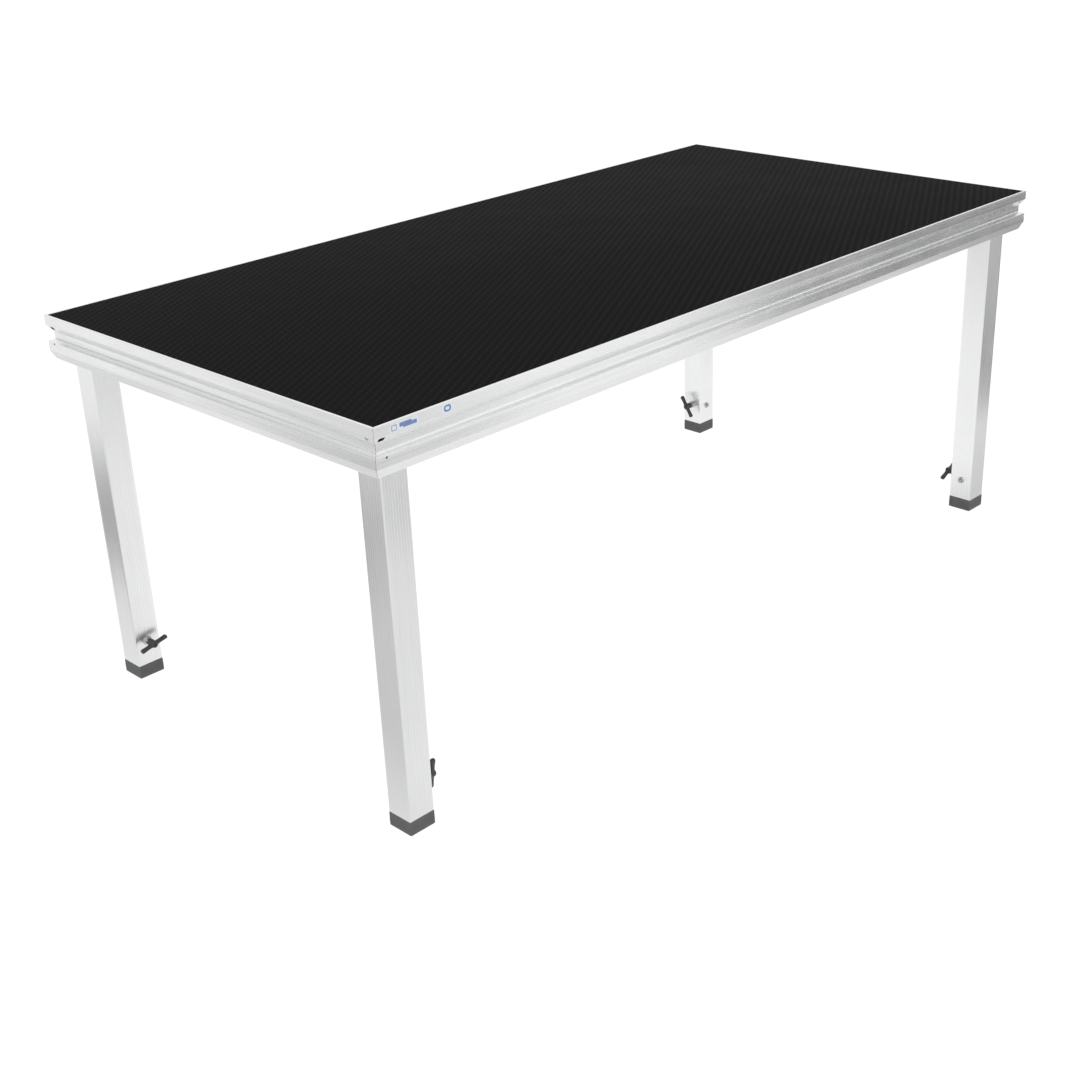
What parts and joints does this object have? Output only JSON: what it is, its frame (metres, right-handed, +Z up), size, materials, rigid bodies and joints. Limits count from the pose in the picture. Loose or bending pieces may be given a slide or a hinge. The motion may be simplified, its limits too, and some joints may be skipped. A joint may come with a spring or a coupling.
{
  "type": "stage riser platform",
  "caption": "Rectangular stage deck with a grooved aluminium frame, black anti-slip board and square telescopic legs with wing knobs.",
  "frame": {"origin": "on the floor, midway between the four legs", "axes": "+X along the long side, +Y across the deck, +Z up"},
  "size_m": [2, 1, 0.8],
  "materials": {
    "phenolic_board": "black phenolic-faced plywood with a fine raised diagonal mesh",
    "rail_aluminium": "extruded aluminium, satin, fine lines along its length",
    "beam_aluminium": "mill finish extruded aluminium",
    "tube_aluminium": "extruded aluminium with fine upright ribs",
    "inner_aluminium": "smooth drawn aluminium with slide marks",
    "cast_aluminium": "sand-cast aluminium",
    "zinc_steel": "bright zinc-plated steel",
    "button_grey": "dull grey plated steel",
    "cap_rubber": "dark grey moulded rubber",
    "knob_plastic": "dark grey moulded plastic with a fine grain",
    "black_nylon": "black moulded nylon"
  },
  "bodies": {
    "deck": {"deck_panel": "phenolic_board", "rail_front": "rail_aluminium", "rail_right": "rail_aluminium", "rail_back": "rail_aluminium", "rail_left": "rail_aluminium", "crossbeam_1": "beam_aluminium", "crossbeam_2": "beam_aluminium", "crossbeam_3": "beam_aluminium", "socket_front_left": "cast_aluminium", "socket_front_right": "cast_aluminium", "socket_back_right": "cast_aluminium", "socket_back_left": "cast_aluminium"},
    "leg_front_left": {"leg_tube_front_left": "tube_aluminium", "knob_nut_front_left": "zinc_steel", "button_bush_front_left": "button_grey"},
    "foot_front_left": {"leg_inner_front_left": "inner_aluminium", "foot_cap_front_left": "cap_rubber", "guide_block_front_left": "black_nylon"},
    "pad_front_left": {"thrust_pad_front_left": "black_nylon"},
    "knob_front_left": {"wing_knob_front_left": "knob_plastic", "knob_stud_front_left": "zinc_steel"},
    "button_front_left": {"lock_button_front_left": "button_grey"},
    "jaw_front_left": {"socket_jaw_front_left": "zinc_steel"},
    "screw_front_left": {"socket_screw_front_left": "zinc_steel"},
    "leg_front_right": {"leg_tube_front_right": "tube_aluminium", "knob_nut_front_right": "zinc_steel", "button_bush_front_right": "button_grey"},
    "foot_front_right": {"leg_inner_front_right": "inner_aluminium", "foot_cap_front_right": "cap_rubber", "guide_block_front_right": "black_nylon"},
    "pad_front_right": {"thrust_pad_front_right": "black_nylon"},
    "knob_front_right": {"wing_knob_front_right": "knob_plastic", "knob_stud_front_right": "zinc_steel"},
    "button_front_right": {"lock_button_front_right": "button_grey"},
    "jaw_front_right": {"socket_jaw_front_right": "zinc_steel"},
    "screw_front_right": {"socket_screw_front_right": "zinc_steel"},
    "leg_back_right": {"leg_tube_back_right": "tube_aluminium", "knob_nut_back_right": "zinc_steel", "button_bush_back_right": "button_grey"},
    "foot_back_right": {"leg_inner_back_right": "inner_aluminium", "foot_cap_back_right": "cap_rubber", "guide_block_back_right": "black_nylon"},
    "pad_back_right": {"thrust_pad_back_right": "black_nylon"},
    "knob_back_right": {"wing_knob_back_right": "knob_plastic", "knob_stud_back_right": "zinc_steel"},
    "button_back_right": {"lock_button_back_right": "button_grey"},
    "jaw_back_right": {"socket_jaw_back_right": "zinc_steel"},
    "screw_back_right": {"socket_screw_back_right": "zinc_steel"},
    "leg_back_left": {"leg_tube_back_left": "tube_aluminium", "knob_nut_back_left": "zinc_steel", "button_bush_back_left": "button_grey"},
    "foot_back_left": {"leg_inner_back_left": "inner_aluminium", "foot_cap_back_left": "cap_rubber", "guide_block_back_left": "black_nylon"},
    "pad_back_left": {"thrust_pad_back_left": "black_nylon"},
    "knob_back_left": {"wing_knob_back_left": "knob_plastic", "knob_stud_back_left": "zinc_steel"},
    "button_back_left": {"lock_button_back_left": "button_grey"},
    "jaw_back_left": {"socket_jaw_back_left": "zinc_steel"},
    "screw_back_left": {"socket_screw_back_left": "zinc_steel"}
  },
  "joints": [
    {"name": "leg_pull_front_left", "type": "slide", "parent": "deck", "child": "leg_front_left", "axis": [0, 0, -1], "range_m": [0, 0.066]},
    {"name": "telescope_front_left", "type": "slide", "parent": "leg_front_left", "child": "foot_front_left", "axis": [0, 0, -1], "range_m": [0, 0.4]},
    {"name": "pad_press_front_left", "type": "slide", "parent": "leg_front_left", "child": "pad_front_left", "axis": [1, 0, 0], "range_m": [0, 0.003]},
    {"name": "knob_turn_front_left", "type": "hinge", "parent": "pad_front_left", "child": "knob_front_left", "pos_m": [-0.909, -0.438, 0.082], "axis": [1, 0, 0], "range_deg": [0, 720]},
    {"name": "button_press_front_left", "type": "slide", "parent": "leg_front_left", "child": "button_front_left", "axis": [0, -1, 0], "range_m": [0, 0.0045], "stiffness_N_per_m": 300, "springref_m": -0.003},
    {"name": "jaw_press_front_left", "type": "slide", "parent": "deck", "child": "jaw_front_left", "axis": [0, 1, 0], "range_m": [0, 0.00175]},
    {"name": "screw_turn_front_left", "type": "hinge", "parent": "jaw_front_left", "child": "screw_front_left", "pos_m": [-0.938, -0.3929, 0.7487], "axis": [0, 1, 0], "range_deg": [0, 360]},
    {"name": "leg_pull_front_right", "type": "slide", "parent": "deck", "child": "leg_front_right", "axis": [0, 0, -1], "range_m": [0, 0.066]},
    {"name": "telescope_front_right", "type": "slide", "parent": "leg_front_right", "child": "foot_front_right", "axis": [0, 0, -1], "range_m": [0, 0.4]},
    {"name": "pad_press_front_right", "type": "slide", "parent": "leg_front_right", "child": "pad_front_right", "axis": [0, 1, 0], "range_m": [0, 0.003]},
    {"name": "knob_turn_front_right", "type": "hinge", "parent": "pad_front_right", "child": "knob_front_right", "pos_m": [0.938, -0.409, 0.082], "axis": [0, 1, 0], "range_deg": [0, 720]},
    {"name": "button_press_front_right", "type": "slide", "parent": "leg_front_right", "child": "button_front_right", "axis": [1, 0, 0], "range_m": [0, 0.0045], "stiffness_N_per_m": 300, "springref_m": -0.003},
    {"name": "jaw_press_front_right", "type": "slide", "parent": "deck", "child": "jaw_front_right", "axis": [-1, 0, 0], "range_m": [0, 0.00175]},
    {"name": "screw_turn_front_right", "type": "hinge", "parent": "jaw_front_right", "child": "screw_front_right", "pos_m": [0.8929, -0.438, 0.7487], "axis": [-1, 0, 0], "range_deg": [0, 360]},
    {"name": "leg_pull_back_right", "type": "slide", "parent": "deck", "child": "leg_back_right", "axis": [0, 0, -1], "range_m": [0, 0.066]},
    {"name": "telescope_back_right", "type": "slide", "parent": "leg_back_right", "child": "foot_back_right", "axis": [0, 0, -1], "range_m": [0, 0.4]},
    {"name": "pad_press_back_right", "type": "slide", "parent": "leg_back_right", "child": "pad_back_right", "axis": [-1, 0, 0], "range_m": [0, 0.003]},
    {"name": "knob_turn_back_right", "type": "hinge", "parent": "pad_back_right", "child": "knob_back_right", "pos_m": [0.909, 0.438, 0.082], "axis": [-1, 0, 0], "range_deg": [0, 720]},
    {"name": "button_press_back_right", "type": "slide", "parent": "leg_back_right", "child": "button_back_right", "axis": [0, 1, 0], "range_m": [0, 0.0045], "stiffness_N_per_m": 300, "springref_m": -0.003},
    {"name": "jaw_press_back_right", "type": "slide", "parent": "deck", "child": "jaw_back_right", "axis": [0, -1, 0], "range_m": [0, 0.00175]},
    {"name": "screw_turn_back_right", "type": "hinge", "parent": "jaw_back_right", "child": "screw_back_right", "pos_m": [0.938, 0.3929, 0.7487], "axis": [0, -1, 0], "range_deg": [0, 360]},
    {"name": "leg_pull_back_left", "type": "slide", "parent": "deck", "child": "leg_back_left", "axis": [0, 0, -1], "range_m": [0, 0.066]},
    {"name": "telescope_back_left", "type": "slide", "parent": "leg_back_left", "child": "foot_back_left", "axis": [0, 0, -1], "range_m": [0, 0.4]},
    {"name": "pad_press_back_left", "type": "slide", "parent": "leg_back_left", "child": "pad_back_left", "axis": [0, -1, 0], "range_m": [0, 0.003]},
    {"name": "knob_turn_back_left", "type": "hinge", "parent": "pad_back_left", "child": "knob_back_left", "pos_m": [-0.938, 0.409, 0.082], "axis": [0, -1, 0], "range_deg": [0, 720]},
    {"name": "button_press_back_left", "type": "slide", "parent": "leg_back_left", "child": "button_back_left", "axis": [-1, 0, 0], "range_m": [0, 0.0045], "stiffness_N_per_m": 300, "springref_m": -0.003},
    {"name": "jaw_press_back_left", "type": "slide", "parent": "deck", "child": "jaw_back_left", "axis": [1, 0, 0], "range_m": [0, 0.00175]},
    {"name": "screw_turn_back_left", "type": "hinge", "parent": "jaw_back_left", "child": "screw_back_left", "pos_m": [-0.8929, 0.438, 0.7487], "axis": [1, 0, 0], "range_deg": [0, 360]}
  ],
  "couplings": [
    {"joint": "pad_press_front_left", "follows": "knob_turn_front_left", "m_per_rad": 0.00023873},
    {"joint": "screw_turn_front_left", "follows": "jaw_press_front_left", "rad_per_m": 3590.4},
    {"joint": "pad_press_front_right", "follows": "knob_turn_front_right", "m_per_rad": 0.00023873},
    {"joint": "screw_turn_front_right", "follows": "jaw_press_front_right", "rad_per_m": 3590.4},
    {"joint": "pad_press_back_right", "follows": "knob_turn_back_right", "m_per_rad": 0.00023873},
    {"joint": "screw_turn_back_right", "follows": "jaw_press_back_right", "rad_per_m": 3590.4},
    {"joint": "pad_press_back_left", "follows": "knob_turn_back_left", "m_per_rad": 0.00023873},
    {"joint": "screw_turn_back_left", "follows": "jaw_press_back_left", "rad_per_m": 3590.4}
  ]
}
